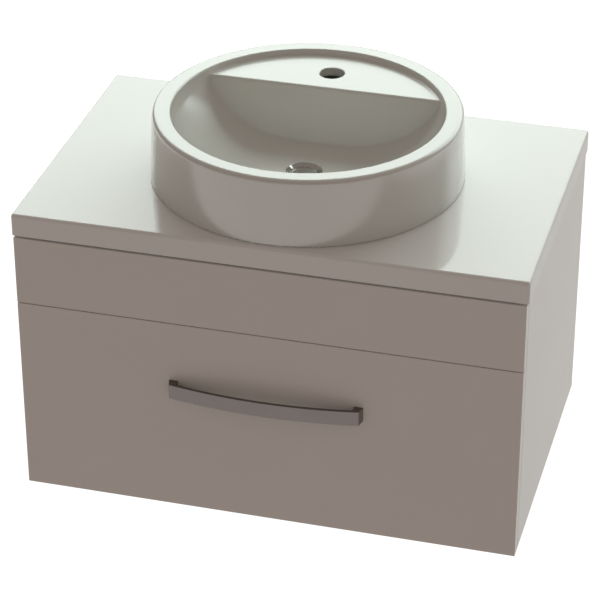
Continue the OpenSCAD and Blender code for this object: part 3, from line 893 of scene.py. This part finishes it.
stand_in("trap_cup_ribbed", finished_mesh("trap_cup", cup), "trap_cup")

# %% Wall rosette
bell = [(28, 0), (28, 0.9), (27.6, 1.5), (26.6, 2.6), (25, 4.1), (23.4, 5.5), (21.9, 6.8), (20.6, 7.9),
        (19.4, 8.7), (18, 9), (16.8, 8.9), (16.3, 8.3), (16.3, 0)]
rosette_mid = middle("wall_rosette")
bell = [(r * MM, -h * MM) for r, h in bell]
shape = turned(bell, (rosette_mid.x, 0, rosette_mid.z), 96, "Y")
stand_in("wall_rosette_bell", finished_mesh("wall_rosette", shape, 50), "wall_rosette")

# %% [markdown]
# ## The handle
# The handle is one bowed flat bar, and its ends turn back to the drawer front. Its outline is two arcs
# and two short feet, drawn from above and raised to the bar's height. Its corners are only broken by a
# file, about 0.8 mm, so the thin top edge catches a line of light.

# %% Bowed bar
handle_low, handle_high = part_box("handle")
front_y = handle_high.y
half, flare, foot, bar_t, stand_off, bow = (v * MM for v in (132.7, 3.5, 9.4, 5, 13, 12.5))
bow_r = (half ** 2 + bow ** 2) / (2 * bow)
bow_y = bow_r - stand_off - bow
clear = half - foot


def bar_arc(radius, reach, steps):
    """Points along the bar's bow, from left to right."""
    return [(x, bow_y - math.sqrt(radius ** 2 - x ** 2)) for x in np.linspace(-reach, reach, steps)]


outline = [(-half - flare, 0)] + bar_arc(bow_r, half, 65) + [(half + flare, 0), (clear, 0)]
outline += bar_arc(bow_r - bar_t, clear, 61)[::-1] + [(-clear, 0)]
shape = bmesh.new()
lower = [shape.verts.new((x, y + front_y, handle_low.z)) for x, y in outline]
upper = [shape.verts.new((x, y + front_y, handle_high.z)) for x, y in outline]
shape.faces.new(lower)
shape.faces.new(upper)
for n in range(len(outline)):
    shape.faces.new((lower[n - 1], lower[n], upper[n], upper[n - 1]))
bmesh.ops.recalc_face_normals(shape, faces=shape.faces)
corners = [e for e in shape.edges if e.calc_face_angle() > math.radians(30)]
bmesh.ops.bevel(shape, geom=corners, offset=0.8 * MM, segments=3, profile=0.5, affect="EDGES")
keep_flat(stand_in("handle_bar", finished_mesh("handle", shape, 50), "handle"))

# %% [markdown]
# ## Screws
# Every screw is a pan head with a cross recess. One head is modelled: a domed disc with a cross cut into
# it, which a Boolean does well because it is only done once. The plain screws in the frame say where each
# one stands: every separate solid gives its axis, its length and which end is the wide one.

# %% Find the separate solids of a piece
def solids(node):
    """The points of each separate solid in a piece."""
    shape = bmesh.new()
    shape.from_mesh(frame["nodes"][node].data)
    bmesh.ops.remove_doubles(shape, verts=shape.verts, dist=0.000001)
    left, found = set(shape.verts), []
    while left:
        group, waiting = [], [left.pop()]
        while waiting:
            vert = waiting.pop()
            group.append(np.array(vert.co))
            for edge in vert.link_edges:
                other = edge.other_vert(vert)
                if other in left:
                    left.remove(other)
                    waiting.append(other)
        found.append(np.array(group))
    shape.free()
    return sorted(found, key=lambda g: tuple(np.round(g.mean(0), 5)))


def screw_place(group):
    """Seat of the head, the way the shank runs, its length and the head's height."""
    low, high = group.min(0), group.max(0)
    axis = int(np.argmax(high - low))
    mid = (low + high) / 2
    others = [k for k in range(3) if k != axis]
    r = np.hypot(group[:, others[0]] - mid[others[0]], group[:, others[1]] - mid[others[1]])
    wide = group[r > 3 * MM][:, axis]
    at_low = abs(wide.min() - low[axis]) < abs(wide.max() - high[axis])
    seat = mid.copy()
    seat[axis] = wide.max() if at_low else wide.min()
    way = np.zeros(3)
    way[axis] = 1 if at_low else -1
    end = high[axis] if at_low else low[axis]
    return Vector(seat), Vector(way), abs(end - seat[axis]), wide.max() - wide.min()


print("screws:", {n: len(solids(n)) for n in slot_of if n.endswith("_screws")})

# %% One screw of each length, and a copy at each place
shank_r, head_r, screw_pitch = 2 * MM, 3.8 * MM, 1.5 * MM
recess_long, recess_wide = 2.1 * MM, 0.42 * MM


def slotted(blank_mesh, low, high, *arms):
    """The mesh with a box cut out of it for each arm, which is half its length and half its width."""
    blank = bpy.data.objects.new("blank", blank_mesh)
    bpy.context.scene.collection.objects.link(blank)
    boxes = [box_shape((-x, -y, low), (x, y, high)) for x, y in arms]
    mesh = cut_away(blank, *(finished_mesh("arm", box) for box in boxes)).data
    bpy.data.objects.remove(blank)
    return mesh


def add_copy(target, mesh, matrix):
    """Adds the mesh to the target, moved and turned by the matrix."""
    copy = mesh.copy()
    copy.transform(matrix)
    target.from_mesh(copy)
    bpy.data.meshes.remove(copy)


def screw_mesh(length, head_h):
    """A screw whose head is below z = 0, with its shank running up."""
    shank_end = length - 3 * MM
    head = [(0, -head_h), (2.2 * MM, -head_h), (3.1 * MM, -head_h * 0.93), (3.6 * MM, -head_h * 0.7),
            (head_r, -head_h * 0.35), (head_r, 0), (shank_r, 0)]
    shank = [(shank_r, z) for z in np.arange(0.4 * MM, shank_end, 0.25 * MM)]
    tip = [(shank_r, shank_end), (1.7 * MM, length - 2 * MM), (1 * MM, length - 0.8 * MM), (0, length)]

    def thread(angle, r, h):
        if abs(r - shank_r) > 0.001 * MM or h < 1 * MM or h > shank_end:
            return r
        return r - 0.45 * MM * abs(((h / screw_pitch - angle / (2 * math.pi)) % 1) * 2 - 1)

    blank = finished_mesh("screw", turned(head + shank + tip, (0, 0, 0), 24, groove=thread), 45)
    return slotted(blank, -head_h - 1 * MM, -head_h * 0.38, (recess_long, recess_wide),
                   (recess_wide, recess_long))


def set_screws(node):
    """Puts a modelled screw at every place where the node has a plain one."""
    everything = bmesh.new()
    cache = {}
    for n, group in enumerate(solids(node)):
        seat, way, length, head_h = screw_place(group)
        size = (round(length, 5), round(head_h, 5))
        if size not in cache:
            cache[size] = screw_mesh(*size)
        spin = Matrix.Rotation(0.7 * n, 4, "Z")
        stand = Vector((0, 0, 1)).rotation_difference(way).to_matrix().to_4x4()
        add_copy(everything, cache[size], Matrix.Translation(seat) @ stand @ spin)
    stand_in(node + "_cross", finished_mesh(node, everything, 45), node)


for node in sorted(n for n in slot_of if n.endswith("_screws")):
    set_screws(node)

# %% [markdown]
# ## Cam locks
# A cam lock is a small cast drum in a round hole. Its face has a cross slot for a screwdriver and a notch
# that shows which way it is turned. It is built like the screws, once, and set at each place with its face
# towards the inside of the cabinet.

# %% Cam faces
cabinet_middle = Vector((0, -0.22, -0.15))
cam_r, cam_h = 7.5 * MM, 12.5 * MM
slot_long, slot_wide = 4.3 * MM, 0.7 * MM

drum = turned(rounded([(0, 0), (cam_r, 0), (cam_r, cam_h), (0, cam_h)], 0.5 * MM), (0, 0, 0), 48)
cam = slotted(finished_mesh("cam", drum, 45), cam_h - 3 * MM, cam_h + 1 * MM, (slot_long, slot_wide),
              (slot_wide, slot_long))
notched = bpy.data.objects.new("notched", cam)
bpy.context.scene.collection.objects.link(notched)
notch = box_shape((5.6 * MM, -0.5 * MM, cam_h - 0.8 * MM), (9 * MM, 0.5 * MM, cam_h + 1 * MM))
cam = cut_away(notched, finished_mesh("notch", notch)).data
bpy.data.objects.remove(notched)
cams = bmesh.new()
for n, group in enumerate(solids("cam_locks")):
    low, high = group.min(0), group.max(0)
    axis = int(np.argmin(high - low))
    mid = Vector((low + high) / 2)
    way = Vector((0, 0, 0))
    way[axis] = 1 if cabinet_middle[axis] > mid[axis] else -1
    stand = Vector((0, 0, 1)).rotation_difference(way).to_matrix().to_4x4()
    spin = Matrix.Rotation(0.9 * n, 4, "Z")
    add_copy(cams, cam, Matrix.Translation(mid - way * cam_h / 2) @ stand @ spin)
stand_in("cam_locks_slotted", finished_mesh("cam_locks", cams, 45), "cam_locks")

# %% [markdown]
# ## Bumpers
# Two soft clear dots behind the drawer front keep it from clapping against the carcass. A real one is a
# flattened dome, so its edge is thin and its middle full.

# %% Soft dots
dot_r = 5 * MM
dots = bmesh.new()
for group in solids("bumpers"):
    low, high = group.min(0), group.max(0)
    height = high[1] - low[1]
    curve = [(dot_r * math.cos(t), height * math.sin(t)) for t in np.linspace(0, math.pi / 2, 9)]
    loop = [(0, 0)] + curve[:-1] + [(0, height)]
    centre = ((low[0] + high[0]) / 2, low[1], (low[2] + high[2]) / 2)
    dots.from_mesh(finished_mesh("dot", turned(loop, centre, 32, "Y")))
stand_in("bumpers_domed", finished_mesh("bumpers", dots), "bumpers")

# %% [markdown]
# ## Floor and light
# The cabinet hangs, so the floor lies well below it, and it is a plain pale sheet. The light is a studio's:
# a dim warm room all round, one very large cool panel high behind the object, which the worktop, the rim
# and the ledge reflect, and a faint warm panel to the right that lifts the side panel. The panels are
# large, so every shadow is soft.

# %% Floor
floor_z = cad_box[0].z - 0.42
bpy.ops.mesh.primitive_grid_add(x_subdivisions=2, y_subdivisions=2, size=40, location=(0, 0, floor_z))
floor = bpy.context.object
floor.name = "studio_floor"


def pale_floor():
    return {"Base Color": (0.2, 0.2, 0.2), "Roughness": 0.9, "Emission Color": (1, 1, 1),
            "Emission Strength": 0.97}


make_finish("studio_floor", pale_floor)
floor.data.materials.append(finishes["studio_floor"])
floor.visible_diffuse = False
floor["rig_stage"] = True

# %% Room and panels
world = bpy.data.worlds.new("studio")
bpy.context.scene.world = world
world.use_nodes = True
room = world.node_tree.nodes["Background"]
room.inputs["Color"].default_value = (0.280, 0.236, 0.210, 1)
room.inputs["Strength"].default_value = 1.0


def panel(name, centre, target, width, height, brightness, colour):
    """A soft panel of even brightness that faces the target."""
    light = bpy.data.lights.new(name, "AREA")
    light.shape, light.size, light.size_y = "RECTANGLE", width, height
    light.energy = brightness * math.pi * width * height
    light.color = colour
    lamp = bpy.data.objects.new(name, light)
    lamp.location = centre
    lamp.rotation_euler = (Vector(target) - Vector(centre)).to_track_quat("-Z", "Y").to_euler()
    lamp.visible_camera = False
    bpy.context.scene.collection.objects.link(lamp)
    return lamp


panel("back_panel", (0.1, 2.9, 1.95), (0, -0.2, 0.05), 6.4, 2.4, 2.4, (0.87, 1.0, 0.95))
panel("right_panel", (3.2, 0.6, 0.9), (0.35, -0.2, -0.1), 2.0, 2.0, 0.1, (1.0, 0.97, 0.84))

# %% [markdown]
# ## Camera
# The object is seen from its right front corner and from above, through a long lens, so its upright
# edges stay almost parallel.

# %% Camera
camera_data = bpy.data.cameras.new("camera")
camera_data.lens, camera_data.sensor_width = 156.18, 36
camera = bpy.data.objects.new("camera", camera_data)
camera.location = (0.8172, -3.2865, 1.7465)
aim = Vector((0.0486, -0.4470, 0.0010)) - camera.location
roll = Matrix.Rotation(math.radians(-0.085), 3, "Z")
camera.rotation_euler = (aim.to_track_quat("-Z", "Y").to_matrix() @ roll).to_euler()
bpy.context.scene.collection.objects.link(camera)
bpy.context.scene.camera = camera
bpy.context.scene.view_settings.view_transform = "Standard"

# %% Sizes, and the end
look_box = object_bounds()
grown = [max(abs(a - b) for a, b in zip(*pair)) * 1000 for pair in zip(cad_box, look_box)]
print("grown by, mm:", [round(g, 2) for g in grown])
